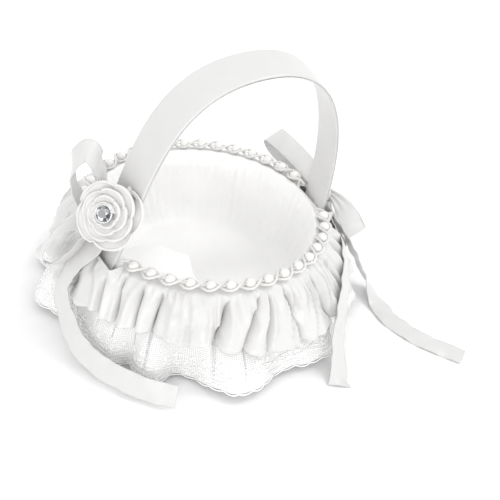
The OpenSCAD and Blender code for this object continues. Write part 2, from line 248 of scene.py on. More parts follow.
def material(name, colour, rough, metallic=0.0, sheen=0.0, coat=0.0, specular=0.5, through=0.0):
    """A Principled material whose colour drifts a little with soft noise, with its nodes and links."""
    mat = bpy.data.materials.new(name)
    mat.use_nodes = True
    nodes, links = mat.node_tree.nodes, mat.node_tree.links
    shader = set_inputs(nodes["Principled BSDF"], Roughness=rough, Metallic=metallic, Sheen_Weight=sheen,
                        Sheen_Roughness=0.4, Coat_Weight=coat, Coat_Roughness=0.12,
                        Specular_IOR_Level=specular, Subsurface_Weight=through, Subsurface_Scale=0.004)
    where = nodes.new("ShaderNodeTexCoord")
    noise = set_inputs(nodes.new("ShaderNodeTexNoise"), Scale=60, Detail=3)
    ramp = nodes.new("ShaderNodeValToRGB")
    ramp.color_ramp.elements[0].position = 0.3
    ramp.color_ramp.elements[1].position = 0.7
    ramp.color_ramp.elements[0].color = (*[c * 0.965 for c in colour], 1)
    ramp.color_ramp.elements[1].color = (*colour, 1)
    links.new(where.outputs["Object"], noise.inputs["Vector"])
    links.new(noise.outputs["Fac"], ramp.inputs["Fac"])
    links.new(ramp.outputs["Color"], shader.inputs["Base Color"])
    return mat, nodes, links


def relief(nodes, links, pattern, strength, distance):
    """Bump on the material's shader from a pattern socket."""
    node = set_inputs(nodes.new("ShaderNodeBump"), Strength=strength, Distance=distance)
    links.new(pattern, node.inputs["Height"])
    links.new(node.outputs["Normal"], nodes["Principled BSDF"].inputs["Normal"])


SATIN_THREADS = 2600.0  # threads per metre of cloth


def satin(name, colour, rough):
    """Satin: long threads along the cloth, fine threads across it, and a soft sheen."""
    mat, nodes, links = material(name, colour, rough, sheen=0.25, specular=0.55)
    uv = nodes.new("ShaderNodeTexCoord")
    stretch = set_inputs(nodes.new("ShaderNodeMapping"), Scale=(SATIN_THREADS * 0.22, SATIN_THREADS, 1))
    grain = set_inputs(nodes.new("ShaderNodeTexNoise"), Scale=1, Detail=2)
    links.new(uv.outputs["UV"], stretch.inputs["Vector"])
    links.new(stretch.outputs["Vector"], grain.inputs["Vector"])
    relief(nodes, links, grain.outputs["Fac"], 0.18, 0.00012)
    return mat


def plain(name, colour, rough, grain=900.0, strength=0.3, **more):
    """A plain material with a fine grain."""
    mat, nodes, links = material(name, colour, rough, **more)
    where = nodes.new("ShaderNodeTexCoord")
    noise = set_inputs(nodes.new("ShaderNodeTexNoise"), Scale=grain, Detail=4)
    links.new(where.outputs["Object"], noise.inputs["Vector"])
    relief(nodes, links, noise.outputs["Fac"], strength, 0.0002)
    return mat


def net(name, colour):
    """Lace net: threads round small cells, and holes between them."""
    mat, nodes, links = material(name, colour, 0.7, sheen=0.2)
    uv = nodes.new("ShaderNodeTexCoord")
    cells = nodes.new("ShaderNodeTexVoronoi")
    cells.feature = "DISTANCE_TO_EDGE"
    set_inputs(cells, Scale=850, Randomness=0.35)
    solid = nodes.new("ShaderNodeMapRange")
    solid.interpolation_type = "SMOOTHSTEP"
    set_inputs(solid, From_Min=0.09, From_Max=0.17, To_Min=0.97, To_Max=0.62)
    links.new(uv.outputs["UV"], cells.inputs["Vector"])
    links.new(cells.outputs["Distance"], solid.inputs["Value"])
    links.new(solid.outputs["Result"], nodes["Principled BSDF"].inputs["Alpha"])
    return mat


def faceted(name):
    """A clear stone over foil: every facet has its own painted reflection, from near black to near white,
    kept in the mesh.
    """
    mat, nodes, links = material(name, (0.9, 0.9, 0.92), 0.05, metallic=0.75, coat=0.8)
    painted_glint = nodes.new("ShaderNodeAttribute")
    painted_glint.attribute_name = "facet"
    # The ramp turns each facet's value into a painted reflection, dark or bright.
    reflection_ramp = nodes.new("ShaderNodeValToRGB")
    reflection_ramp.color_ramp.elements[0].color = (0.05, 0.055, 0.06, 1)
    reflection_ramp.color_ramp.elements[1].color = (0.97, 0.98, 1, 1)
    links.new(painted_glint.outputs["Fac"], reflection_ramp.inputs["Fac"])
    links.new(reflection_ramp.outputs["Color"], nodes["Principled BSDF"].inputs["Base Color"])
    return mat


WHITE = (0.67, 0.667, 0.66)
SKIRT_SATIN = satin("skirt_satin", (0.7, 0.697, 0.69), 0.27)
# The lining is the same satin painted paler, as painted light for the brightly lit inside of the bowl.
LIT_LINING_SATIN = satin("lining_satin", (0.92, 0.917, 0.91), 0.42)
RIBBON_SATIN = satin("ribbon_satin", WHITE, 0.33)
ROSE_SATIN = satin("rose_satin", (0.74, 0.734, 0.724), 0.4)
NET = net("lace_net", (0.99, 0.99, 0.985))
LACE_THREAD = plain("lace_thread", (0.98, 0.98, 0.975), 0.65, 2500, 0.4, sheen=0.2)
PEARL = plain("pearl", (0.8, 0.79, 0.77), 0.16, 300, 0.05, coat=0.8, specular=0.7)
BRAID = plain("braid_cord", (0.74, 0.735, 0.72), 0.35, 2200, 0.4, sheen=0.2)
CARD = plain("card", (0.62, 0.5, 0.36), 0.85, 700, 0.5)
FOAM = plain("foam", (0.93, 0.92, 0.88), 0.9, 1500, 0.6)
FELT = plain("felt", (0.93, 0.925, 0.91), 0.95, 1800, 0.7, sheen=0.4)
GLUE = plain("glue", (0.85, 0.83, 0.76), 0.3, 200, 0.2, through=0.3)
PLASTIC = plain("strip_plastic", (0.88, 0.89, 0.9), 0.35, 400, 0.1)
SILVER = plain("setting_metal", (0.86, 0.86, 0.87), 0.16, 800, 0.05, metallic=1.0)
STONE = faceted("clear_stone")


def finish_piece(obj, mat, body="root", stands_for=()):
    """Gives a piece its material and its body, and hides the CAD nodes that it stands for."""
    obj.data.materials.append(mat)
    if body:
        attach(obj, body)
    if stands_for:
        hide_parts(*stands_for)
    return obj


# --- the bowl ---
def bowl_r(z):
    return BOWL_BASE_R + (BOWL_TOP_R - BOWL_BASE_R) * (np.asarray(z, float) - BASE_Z) / (WALL_TOP - BASE_Z)


def around(angle, r, z):
    a = np.radians(angle)
    r, z = np.broadcast_arrays(r, z)
    return np.stack(np.broadcast_arrays(r * np.cos(a), r * np.sin(a), z), -1)


# Where the lining stands off the card in a deep loose fold, at the near left of the rim.
TUCK_FROM, TUCK_TO, TUCK_REACH = -186.0, -117.0, 24.0


def make_lining():
    # From its turned-down edge outside the card, over the rim and down the wall to the middle of the floor.
    outline = [[67.6, 0, 46.2], [67.75, 0, 51], [67.5, 0, 54.6], [66.4, 0, 55.6], [65, 0, 55.2],
               [64.1, 0, 52.5], [63.3, 0, 46], [62.3, 0, 37], [60.7, 0, 27], [57.2, 0, 18], [50.5, 0, 12],
               [41, 0, 9.6], [28, 0, 8.9], [14, 0, 8.7], [0.05, 0, 8.6]]
    profile, length = spline(outline, 100)
    r0, z0 = profile[:, 0][:, None], profile[:, 2][:, None]
    run = np.linspace(0, length, len(profile))[:, None]
    rim_run = 12.0
    columns = 480
    angle = (np.arange(columns) * 360 / columns)[None, :]
    inside = ease(run, rim_run, rim_run + 9)
    slope = unit(np.gradient(profile[:, [0, 2]], axis=0))
    inward = np.column_stack([slope[:, 1], -slope[:, 0]])
    # Fine gathers just below the rim, and long soft folds down the wall.
    pleats = Waves(60, 96, 14, 0.03)(angle, run)
    folds = Waves(20, 44, 16, 0.06)(angle, run)
    broad = Waves(6, 15, 9, 0.05)(angle, run)
    fade = 1 - ease(run, rim_run + 30, rim_run + 66)
    centre = ease(r0, 46, 62)
    height = inside * (0.5 + 0.28 * pleats * (1 - ease(run, rim_run + 8, rim_run + 22))
                       + (0.42 * np.abs(folds) ** 1.3) * (0.4 + 0.6 * fade) * centre
                       + (0.7 + 0.5 * broad) * centre * (0.35 + 0.65 * fade))
    # The loose fold leans in over the floor and ends in a sharp crease.
    a = turn(angle, TUCK_FROM) % 360
    span = TUCK_TO - TUCK_FROM
    reach = ease(a, 0, span * 0.45) * (1 - ease(a, span * 0.76, span)) * (a < span)
    lean = ease(run, rim_run - 0.5, rim_run + 12) * (1 - ease(run, rim_run + 13, rim_run + 36))
    crease = 1.3 * bump(a, span * 0.94, 2) * ease(run, rim_run + 2, rim_run + 8) * (1 - ease(run, 34, 54))
    height = height * (1 - 0.8 * reach * lean) + TUCK_REACH * reach * lean + crease
    r = r0 + inward[:, 0][:, None] * height
    z = z0 + np.abs(inward[:, 1])[:, None] * height + 6.0 * reach * lean
    r = np.maximum(r, 0.03)
    # At the handle's feet the edge stands out to meet them.
    outside = 1 - ease(run, 6.5, 9.5)
    r = r + outside * near_feet(angle) * np.maximum(0, flat_foot_r(68.7, angle) - r)
    grid = around(angle, r, z)
    turns = np.arange(columns + 1) * 2 * np.pi * 66 / columns
    uv = flat_map(turns[None, :], run)
    lining = finish_piece(shell("lining_bag", grid[:, ::-1], uv, 0.4, wrap=True), LIT_LINING_SATIN,
                          stands_for=("lining_wall", "lining_floor"))


def make_bowl_covers():
    """The satin glued round the card and under it, and the pad in the floor."""
    angle = (np.arange(360) * 1.0)[None, :]
    z = np.linspace(0.5, 46, 40)[:, None]
    ripple = 0.25 + 0.22 * Waves(24, 60, 12, 0.05)(angle, z) * ease(z, 0, 8)
    grid = around(angle, bowl_r(z) + 0.35 + np.maximum(ripple, 0), z)
    uv = flat_map((np.arange(361) * math.pi * 124 / 360)[None, :], z)
    wall = finish_piece(shell("wall_satin", grid[:, ::-1], uv, 0.3, wrap=True), SKIRT_SATIN,
                        stands_for=("outer_cover",))
    r = np.linspace(1, BOWL_BASE_R + 0.5, 36)[:, None]
    puckers = 0.06 * Waves(30, 52, 10)(angle, 0 * r) * ease(r, 34, 58)
    grid = around(angle, r, 0.3 + puckers)
    uv = flat_map((np.arange(361) * math.pi * 90 / 360)[None, :], r)
    under = finish_piece(shell("base_satin", grid, uv, 0.3, wrap=True), SKIRT_SATIN,
                         stands_for=("base_cover",))
    outline, _ = spline([[0.6, 0, 2.4], [30, 0, 2.3], [55, 0, 2.35], [57.6, 0, 3.2], [58, 0, 4.8],
                         [57.2, 0, 6.6], [52, 0, 7.3], [30, 0, 7.5], [0.6, 0, 7.5]], 60)
    swell = 0.12 * Waves(5, 14, 8)(angle, 0 * outline[:, :1]) * ease(outline[:, 2:], 5, 7)
    grid = around(angle, outline[:, :1], outline[:, 2:] + swell)
    pad = finish_piece(lathed("floor_cushion", grid, flip=True), FOAM, stands_for=("floor_pad",))


# --- the skirts ---
# Creases of the satin ruffle as (angle at the rim, angle at the hem, how deep), in degrees round Z.
FRONT_CREASES = [(-163, -158, 0.8), (-154.5, -151, 1.0), (-145, -143, 0.9), (-136, -138, 0.8),
                 (-107, -115, 1.0), (-93.5, -104, 1.0), (-91, -94.5, 0.6), (-84, -80, 0.55),
                 (-68, -63, 0.75)]
OTHER_CREASES = 17
RUFFLE_TOP, RUFFLE_HEM, LACE_HEM = 55.2, 26.0, 5.0


def all_creases():
    """The front's creases, and others at random round the rest of the rim."""
    rest = 360 - (FRONT_CREASES[-1][0] - FRONT_CREASES[0][0])
    creases = list(FRONT_CREASES)
    for k in range(1, OTHER_CREASES):
        a = FRONT_CREASES[-1][0] + rest * k / OTHER_CREASES + dice.uniform(-3, 3)
        creases.append((a, a + dice.uniform(-5, 5), dice.uniform(0.55, 1)))
    return np.array(creases)


CREASES = all_creases()


def near_feet(angle):
    """1 where a handle foot stands, 0 away from it."""
    foot = math.degrees(math.asin(FOOT_Y / RIM_R))
    return sum(1 - ease(np.abs(turn(angle, centre)), 10.6, 13.6) for centre in (foot, 180 - foot))


def flat_foot_r(reach, angle):
    """Radius, at each angle, of a plane that stands square to X at a distance."""
    return reach / np.abs(np.cos(np.radians(angle)))


def under_tails(angle):
    """1 where ribbons lie on the skirts, 0 elsewhere."""
    out = 1 - ease(np.abs(turn(angle, 170)), 26, 40)
    return out + (1 - ease(np.abs(turn(angle, -45)), 20, 34))


def hem_z(angle):
    """Height of the satin hem, which hangs lowest at the front right."""
    marks = np.array([[-180, 29], [-150, 31], [-132, 32.5], [-112, 29.5], [-94, 25], [-67, 22.5], [-30, 24],
                      [20, 26], [80, 25], [130, 27], [180, 29]])
    return np.interp(turn(angle, 0), marks[:, 0], marks[:, 1])


SMALL = Waves(70, 130, 18, 0.05)
DRAG = Waves(26, 52, 16, 0.09)
TUCKS = Waves(12, 24, 9, 0.07)


def ruffle_columns():
    """Which puff each column of the skirts is in, and how far across it."""
    puff, share = [], []
    for k in range(len(CREASES)):
        wide = (np.roll(CREASES[:, 0], -1)[k] - CREASES[k, 0]) % 360
        count = int(max(14, wide * 2.2))
        puff += [k] * count
        share += list(np.linspace(0, 1, count, endpoint=False))
    return np.array(puff), np.array(share)


def ruffle_point(puff, share, z):
    """Angle and radius of the satin ruffle's cloth at height z."""
    following = (puff + 1) % len(CREASES)
    v = np.clip((RUFFLE_TOP - z) / (RUFFLE_TOP - RUFFLE_HEM), 0, 1.4)
    start = CREASES[puff, 0] + (CREASES[puff, 1] - CREASES[puff, 0]) * v
    stop = CREASES[following, 0] + (CREASES[following, 1] - CREASES[following, 0]) * v
    wide = (stop - start) % 360
    s, v = np.broadcast_arrays(share, v)
    angle = start + wide * (s - 0.085 * np.sin(2 * np.pi * s) * ease(v, 0.1, 0.5))
    deep = CREASES[puff, 2] * (1 - s) + CREASES[following, 2] * s
    full = np.sin(np.pi * s) ** 0.55
    size = np.clip(wide / 14, 0.5, 1.35)
    grow = ease(v, 0.02, 0.42)
    base = 70.9 + 19.0 * np.clip(v, 0, None) ** 0.78 - 4.2 * (1 - ease(v, 0, 0.06))
    room = 1 - 0.55 * np.clip(under_tails(angle), 0, 1)
    out = base + grow * (3.6 * size * full * room - 10.5 * deep * (1 - full) * (0.7 + 0.3 * size))
    out = out + 0.6 * SMALL(angle, z) * (1 - ease(v, 0.1, 0.3)) * ease(v, 0.02, 0.08)
    out = out + 0.5 * DRAG(angle, z) * ease(v, 0.05, 0.25) * (1 - 0.6 * ease(v, 0.5, 1))
    # Soft valleys between sharp ridges, slanting across the puffs.
    slant = 1 - 2 * np.abs(np.mod(TUCKS(angle, z * 1.2) * 0.9, 1) - 0.5)
    out = out + 3.6 * (slant**1.6 - 0.4) * ease(v, 0.06, 0.3) * (1 - 0.4 * ease(v, 0.6, 1))
    # Under the tuck the puff folds over itself along a line that rises to the right.
    ledge = 45 + 6.5 * ease(angle, -134, -116)
    fold = bump(angle, -124, 10) * grow
    out = out + fold * 4.4 * (1 - ease(z - ledge, -1.6, 1.0)) * (1 - ease(ledge - z, 2, 14)) - 2.2 * fold
    # A hollow in the round puff at the front right.
    out = out - 4.2 * bump(angle, -78.5, 4.4) * bump(z, 41, 6)
    # It passes outside the flat feet of the handle.
    feet = near_feet(angle) * (1 - ease(v, 0.1, 0.5))
    out = out + feet * np.maximum(0, flat_foot_r(73.4, angle) - out)
    return angle, out


def make_satin_ruffle():
    puff, share = ruffle_columns()
    rows = 62
    v = np.linspace(0, 1, rows) ** 1.1
    middle, _ = ruffle_point(puff[None, :], share[None, :], np.full((1, 1), 34.0))
    low = hem_z(middle)
    z = RUFFLE_TOP - (RUFFLE_TOP - low) * v[:, None]
    angle, r = ruffle_point(puff[None, :], share[None, :], z)
    # The hem is turned under, so it rolls in a little and dips between the puffs.
    last = ease(v, 0.93, 1)[:, None]
    z = z - 1.3 * last * np.cos(np.radians(middle * 23)) * 0.5
    r = r - 0.8 * ease(v, 0.97, 1)[:, None]
    grid = around(angle, r, z)
    run = distances(grid[-1])
    length = run[-1] + np.linalg.norm(grid[-1, 0] - grid[-1, -1])
    deep = np.linalg.norm(np.diff(grid, axis=0), axis=-1).sum(0).mean()
    uv = flat_map(np.append(run, length)[None, :], v[:, None] * deep)
    thick = 0.4 + 0.45 * ease(v, 0.88, 0.9)[:, None] - 0.3 * bump(v, 0.885, 0.008)[:, None]
    ruffle = finish_piece(shell("satin_ruffle", grid[:, ::-1], uv[:, ::-1], thick, wrap=True),
                          SKIRT_SATIN, stands_for=("satin_skirt",))


# Waves of the lace's hem as (angle, radius): the outer bends and the inner ones between them.
HEM_RIDGES = [(-152, 93.0), (-136, 95.5), (-104, 99.5), (-67, 97.0), (-33, 97.5), (2, 98.5), (38, 99),
              (73, 98), (108, 99), (142, 98.5), (167, 98)]
HEM_VALLEYS = [(-145.5, 84.5), (-125.5, 81.0), (-86, 88.5), (-50, 86.5), (-15, 88), (20, 86), (56, 87),
               (90, 86), (126, 87), (154, 89), (184, 85)]


def lace_hem_r(angle):
    marks = sorted(((a % 360), r) for a, r in HEM_RIDGES + HEM_VALLEYS)
    marks = [(marks[-1][0] - 360, marks[-1][1])] + marks + [(marks[0][0] + 360, marks[0][1])]
    a, r = np.array(marks).T
    at = np.asarray(angle, float) % 360
    k = np.clip(np.searchsorted(a, at, side="right") - 1, 0, len(a) - 2)
    t = (at - a[k]) / (a[k + 1] - a[k])
    t = t * t * (3 - 2 * t)
    return r[k] + (r[k + 1] - r[k]) * t


class Lace:
    """The lace skirt as a grid, with flat coordinates: along its hem, and up from it, in millimetres."""

    def __init__(self):
        puff, share = ruffle_columns()
        rows = 74
        v = np.linspace(0, 1, rows)[:, None]
        middle, _ = ruffle_point(puff[None, :], share[None, :], np.full((1, 1), 30.0))
        satin_hem = hem_z(middle)
        top, turn_at = 53.0, satin_hem + 1.5
        z = top - (top - LACE_HEM) * v
        upper = np.maximum(z, turn_at)
        angle, r = ruffle_point(puff[None, :], share[None, :], upper)
        below = np.clip((satin_hem - z) / (satin_hem - LACE_HEM), 0, 1)
        flare = lace_hem_r(angle)
        tucked = np.minimum(r - 2.2, 70.0 + 12 * ease(upper, 54, 30))
        ripple = 0.7 * DRAG(angle, z * 0.6) * below
        radius = tucked + (flare - tucked) * below**0.6 + ripple
        z = z + 1.4 * below**2 * (flare - 92) / 8
        self.grid = around(angle, radius, z)
        hem = self.grid[-1]
        run = distances(hem)
        self.length = run[-1] + np.linalg.norm(hem[0] - hem[-1])
        self.along = np.append(run, self.length)
        steps = np.linalg.norm(np.diff(self.grid, axis=0), axis=-1)
        up = np.concatenate([np.cumsum(steps[::-1], axis=0)[::-1], np.zeros((1, steps.shape[1]))])
        self.up = np.concatenate([up, up[:, :1]], 1)
        self.full = np.concatenate([self.grid, self.grid[:, :1]], 1)
        out = normals(self.grid, True)
        self.outward = np.concatenate([out, out[:, :1]], 1)
        if np.mean((self.outward[..., :2] * self.full[..., :2]).sum(-1)) < 0:
            self.outward = -self.outward

    def at(self, u, v):
        """Points and outward directions of the cloth at flat coordinates."""
        u = np.mod(u, self.length)
        k = np.clip(np.searchsorted(self.along, u, side="right") - 1, 0, len(self.along) - 2)
        f = (u - self.along[k]) / np.maximum(self.along[k + 1] - self.along[k], 1e-6)
        rise = self.up[::-1, k] * (1 - f) + self.up[::-1, k + 1] * f
        row = np.array([np.interp(b, rise[:, i], np.arange(len(rise))) for i, b in enumerate(v)])
        row = len(rise) - 1 - row
        i = np.clip(row.astype(int), 0, len(rise) - 2)
        g = (row - i)[:, None]
        f = f[:, None]
        out = []
        for table in (self.full, self.outward):
            low = table[i, k] * (1 - f) + table[i, k + 1] * f
            high = table[i + 1, k] * (1 - f) + table[i + 1, k + 1] * f
            out.append(low * (1 - g) + high * g)
        below = np.minimum(v, 0)[:, None]
        down = unit(self.full[-1, k] - self.full[-3, k])
        return out[0] - down * below, unit(out[1])


def make_lace():
    lace = Lace()
    repeats = round(lace.length / 26)
    period = lace.length / repeats
    scallops = repeats * 3
    rows, columns = lace.grid.shape[:2]
    ci, cj = quads(rows, columns, True)
    uv = flat_map(lace.along[None, :], lace.up)
    cloth = finish_piece(
        add_mesh("lace_ruffle", lace.grid.reshape(-1, 3), (ci * columns + cj % columns)[:, ::-1],
                 uv[ci[:, ::-1], cj[:, ::-1]].reshape(-1, 2)), NET, stands_for=("lace_skirt",))

    strokes = []

    def stroke(u, v, wide, high=0.28, lift=0.22):
        centre, out = lace.at(np.asarray(u, float), np.asarray(v, float))
        ahead = unit(np.gradient(centre, axis=0))
        across = unit(np.cross(ahead, out))
        wide = np.broadcast_to(np.asarray(wide, float), (len(centre),))[:, None]
        up = out * high * np.minimum(1, wide / 0.3)
        strokes.append(tube(centre + out * lift, across * wide, up, sides=6))

    def leaf(u, v, direction, length, wide):
        t = np.linspace(0, 1, 7)
        bend = 0.12 * length * np.sin(np.pi * t)
        c, s = math.cos(direction), math.sin(direction)
        stroke(u + c * length * t - s * bend, v + s * length * t + c * bend,
               0.05 + wide * np.sin(np.pi * t) ** 0.8, 0.26, 0.25)

    def edge(u):
        """How far the scalloped edge reaches below the hem line."""
        return -1.3 * np.abs(np.sin(np.pi * u * scallops / lace.length)) ** 0.7

    whole = np.linspace(0, lace.length, int(lace.length / 0.9))
    stroke(whole, edge(whole) + 0.1, 0.42, 0.34)
    stroke(whole, edge(whole) * 0.85 + 1.3, 0.3)
    stroke(whole, 3.9 + 0.5 * np.sin(2 * np.pi * whole * repeats * 1.5 / lace.length), 0.3)
    for sign in (-1, 1):
        stroke(whole, 8.6 + sign * 2.6 * np.sin(np.pi * whole * repeats / lace.length) + 0.5 * sign, 0.3)
    for k in range(scallops * 2):
        u = (k + 0.5) * lace.length / scallops / 2
        leaf(u - 1.0, 1.7 + edge(u) * 0.4, 0.75 if k % 2 else 0.45, 2.6, 0.62)
    for k in range(repeats):
        middle = (k + 0.5) * period
        for petal in range(6):
            turned = petal * math.pi / 3 + 0.3 * k
            leaf(middle + 0.5 * math.cos(turned), 8.6 + 0.5 * math.sin(turned), turned, 2.3, 0.72)
        # Each as (how far aside, how high, how far it leans out from upright, its length and its width).
        for side in (-1, 1):
            for aside, high, lean, length, wide in (
                    (3.4, 8.4, math.pi / 2 - 0.25, 4.2, 0.6), (5.6, 6.2, math.pi / 2 - 0.5, 3.2, 0.5),
                    (7.6, 11.4, 0.7, 3.8, 0.6), (10.4, 12.0, -0.5, 3.4, 0.55), (0.4, 13.2, 0.9, 3.2, 0.5)):
                leaf(middle + side * aside, high, math.pi / 2 - side * lean, length, wide)
        leaf(middle, 12.2, math.pi / 2, 4.6, 0.7)
    motifs = finish_piece(add_mesh("lace_motifs", *joined(strokes)), LACE_THREAD)


# --- the pearl trim ---
CORD_R = 0.7


def trim_arcs():
    """The two arcs of the rim between the handle's feet, from first pearl to last."""
    foot = math.degrees(math.asin(-FOOT_Y / RIM_R))
    gap = 2 * PITCH
    return [(-foot + gap, 180 + foot - gap), (180 + foot + gap, 360 - foot - gap)]


def make_trim():
    base, faces = ball(18, 24)
    # The thread's hole dimples each pole.
    pole = 1 - ease(np.linalg.norm(base[:, :2], axis=1), 0.12, 0.3)
    base = base * (1 - 0.1 * pole[:, None])
    pearls = []
    for low, high in trim_arcs():
        count = round((high - low) / PITCH)
        for i in range(count + 1):
            angle = low + (high - low) * i / count
            a = math.radians(angle)
            size = PEARL_D / 2 * dice.uniform(0.975, 1.0)
            radial = np.array([math.cos(a), math.sin(a), 0])
            tangent, up = np.array([-math.sin(a), math.cos(a), 0]), np.array([0, 0, 1])
            place = RIM_R * radial + np.array([0, 0, PEARL_Z]) + radial * dice.uniform(-0.15, 0.15)
            pearls.append((place + size * (base @ np.array([radial, up, tangent])), faces))
    finish_piece(add_mesh("pearls", *joined(pearls)), PEARL, stands_for=("rim_pearls",))
    sway, rise = PEARL_D / 2 + 0.9, 1.25  # how far the cords swing out from the pearls' line, and up
    for name, sign, node in (("braid_a", 1, "braid_cord_a"), ("braid_b", -1, "braid_cord_b")):
        cords = []
        for low, high in trim_arcs():
            count = round((high - low) / PITCH)
            k = np.linspace(-0.85, count + 0.85, int((count + 1.7) * 14))
            phase = np.pi * k
            tail = np.clip(np.abs(k - count / 2) - count / 2, 0, 1)
            r = RIM_R + sign * sway * np.cos(phase) * (1 - 0.5 * tail) - 1.5 * tail
            z = PEARL_Z + sign * rise * np.sin(phase) - 2.2 * tail**2
            path = around(low + (high - low) * k / count, r, z)
            ahead = unit(np.gradient(path, axis=0))
            across = unit(np.cross(ahead, [0, 0, 1]))
            up = np.cross(across, ahead)
            cords.append(tube(path, across * CORD_R, up * CORD_R, sides=12, lobes=2, pitch=2.6))
        finish_piece(add_mesh(name, *joined(cords)), BRAID, stands_for=(node,))


# --- ribbons ---
def ribbon(name, rows, pinch, crown=0.5, width=TAIL_W, thick=0.34, ripple=0.35, step=0.8):
    """A satin ribbon through rows of (x, y, z, the way its face looks), gathered where it is pinched."""
    count = max(40, int(spline(rows, 50)[1] / step))
    data, length = spline(rows, count)
    centre, look = data[:, :3], unit(data[:, 3:])
    ahead = unit(np.gradient(centre, axis=0))
    across = unit(np.cross(ahead, look))
    up = np.cross(across, ahead)
    t = np.linspace(0, 1, count)
    run = t * length
    share = np.minimum(pinch[0] + (1 - pinch[0]) * ease(run, 0, 20),
                       pinch[1] + (1 - pinch[1]) * ease(length - run, 0, 20))
    q = np.linspace(-1, 1, 21)
    gather = (1 - share)[:, None]
    phase = dice.uniform(0, 6.28, 4)
    lift = crown * (0.5 - q**2) * (1 - gather)
    lift = lift + 1.5 * gather * np.cos(2.5 * np.pi * q + phase[0] * 0.2)
    lift = lift + ripple * (np.sin(length / 17 * 2 * np.pi * t + phase[1])[:, None] * q
                            + 0.6 * np.sin(length / 9 * 2 * np.pi * t + phase[2])[:, None] * q**2)
    grid = (centre[:, None] + across[:, None] * (q * share[:, None] * width / 2)[..., None]
            + up[:, None] * lift[..., None])
    uv = flat_map(run[:, None], q * width / 2)
    edge = thick * (1 + 0.7 * ease(np.abs(q), 0.93, 0.97))
    return shell(name, grid, uv, edge), length


def faced(points, looks):
    """Rows for a ribbon, from its points and the way that its face looks at each of them."""
    return np.hstack([np.array(points, float), np.array(looks, float)])


NEAR_UPPER_LOOP = faced(
    [[-65, -8, 78.4], [-70, -1.5, 76.5], [-75.5, 4.8, 79], [-79, 7.5, 88], [-79.8, 8.1, 97.8],
     [-78.2, 6.9, 106.2], [-73.7, 3.5, 111.5], [-70.3, 1, 108.7], [-66.8, 1.8, 99.6], [-64, 2.5, 89.5],
     [-63.4, -2, 81.5], [-63.6, -8.5, 79.8]],
    [[-0.2, 0.1, -1], [0, 0, -1], [-0.6, 0.4, -0.6], [-0.8, 0.6, 0], [-0.85, 0.4, 0.2], [-0.75, 0, 0.65],
     [-0.3, -0.5, 0.8], [0.35, -0.8, 0.45], [0.75, -0.65, 0.1], [0.8, -0.6, 0], [0.8, -0.6, 0.2],
     [0.6, -0.4, 0.6]])
NEAR_SIDE_LOOP = faced(
    [[-65.2, -8.6, 75.6], [-70, -3.5, 71.5], [-75.7, -0.4, 68.9], [-82, 2.2, 67.4], [-88.6, 4.3, 63.3],
     [-93.5, 6, 55.9], [-96.9, 7.5, 48.7], [-96.7, 7.4, 43], [-92.6, 4.3, 41.2], [-87.2, 0.3, 44.7],
     [-80.5, -3.8, 54.9], [-75.2, -3.8, 61.6], [-66.6, -9.2, 73.4]],
    [[-0.3, 0.2, 0.9]] * 3
    + [[-0.4, 0.3, 0.8], [-0.5, 0.4, 0.7], [-0.7, 0.5, 0.4], [-0.85, 0.3, 0.1], [-0.6, -0.2, -0.7],
       [-0.2, -0.6, -0.7], [0.1, -0.8, -0.5], [0.2, -0.85, -0.4], [0.3, -0.8, -0.5], [0.5, -0.5, -0.6]])
NEAR_TAIL = faced(
    [[-65, -11, 73], [-68, -11, 66], [-73, -9.5, 59], [-79.8, -8, 52.4], [-86, -5.5, 43], [-91.5, -6.5, 30],
     [-93.4, -18, 21.4], [-93.2, -33, 14], [-87.8, -50, 10.4], [-79, -64.5, 8.8], [-70.2, -75.7, 8.2],
     [-59.5, -85.7, 8.2]],
    [[-0.9, 0, 0.4], [-0.85, 0, 0.5], [-0.8, 0, 0.6], [-0.8, 0, 0.6], [-0.85, 0.1, 0.5], [-0.9, 0, 0.4],
     [-0.9, -0.15, 0.4], [-0.83, -0.35, 0.42], [-0.75, -0.45, 0.44], [-0.65, -0.6, 0.46],
     [-0.55, -0.68, 0.46], [-0.5, -0.72, 0.46]])
FAR_BACK_LOOP = faced(
    [[77.6, -13, 60.2], [78.8, -7.5, 59.8], [79.6, 0, 59.6], [80.2, 12, 60.4], [79.6, 26, 62.4],
     [78.6, 40, 63.4], [78.6, 49.5, 62.6], [80, 52, 58.8], [80, 46, 55.4], [80.6, 26, 53.8],
     [80.6, 8, 53.6], [79.8, -7.5, 56.5], [78.6, -13, 58.6]],
    [[-0.66, 0, 0.75]] * 6 + [[-0.3, 0.9, 0.35], [0.3, 0.9, -0.35]] + [[0.66, 0, -0.75]] * 5)
FAR_FRONT_LOOP = faced(
    [[77.2, -15, 60.2], [78.6, -20, 59.6], [79.3, -26, 58], [80.2, -33, 54.4], [81.2, -38.5, 49.5],
     [83.7, -41.3, 45.4], [86.2, -37.5, 43.8], [86.8, -29.5, 47], [84.8, -22.5, 52.2], [81, -18.5, 56],
     [78.4, -15, 58]],
    [[-0.7, -0.35, 0.6]] * 4 + [[-0.65, -0.5, 0.4], [0.25, -0.75, -0.6], [0.7, 0.2, -0.6]]
    + [[0.7, 0.35, -0.6]] * 4)
FAR_LONG_TAIL = faced(
    [[76.8, -17, 54.8], [77.8, -21, 48.5], [80.7, -26, 42.4], [85, -32, 35.5], [90.3, -37, 24],
     [95.5, -44, 11], [97, -53, 3.5], [95, -65, 1.2], [94, -78, 0.9], [99, -96, 0.9], [105.5, -108, 0.9],
     [114.5, -121.5, 0.9]],
    [[0.95, -0.1, 0.3]] + [[0.9, -0.1, 0.4]] * 4
    + [[0.8, -0.1, 0.55], [0.5, -0.1, 0.8], [0.1, 0, 1]] + [[0, 0, 1]] * 4)
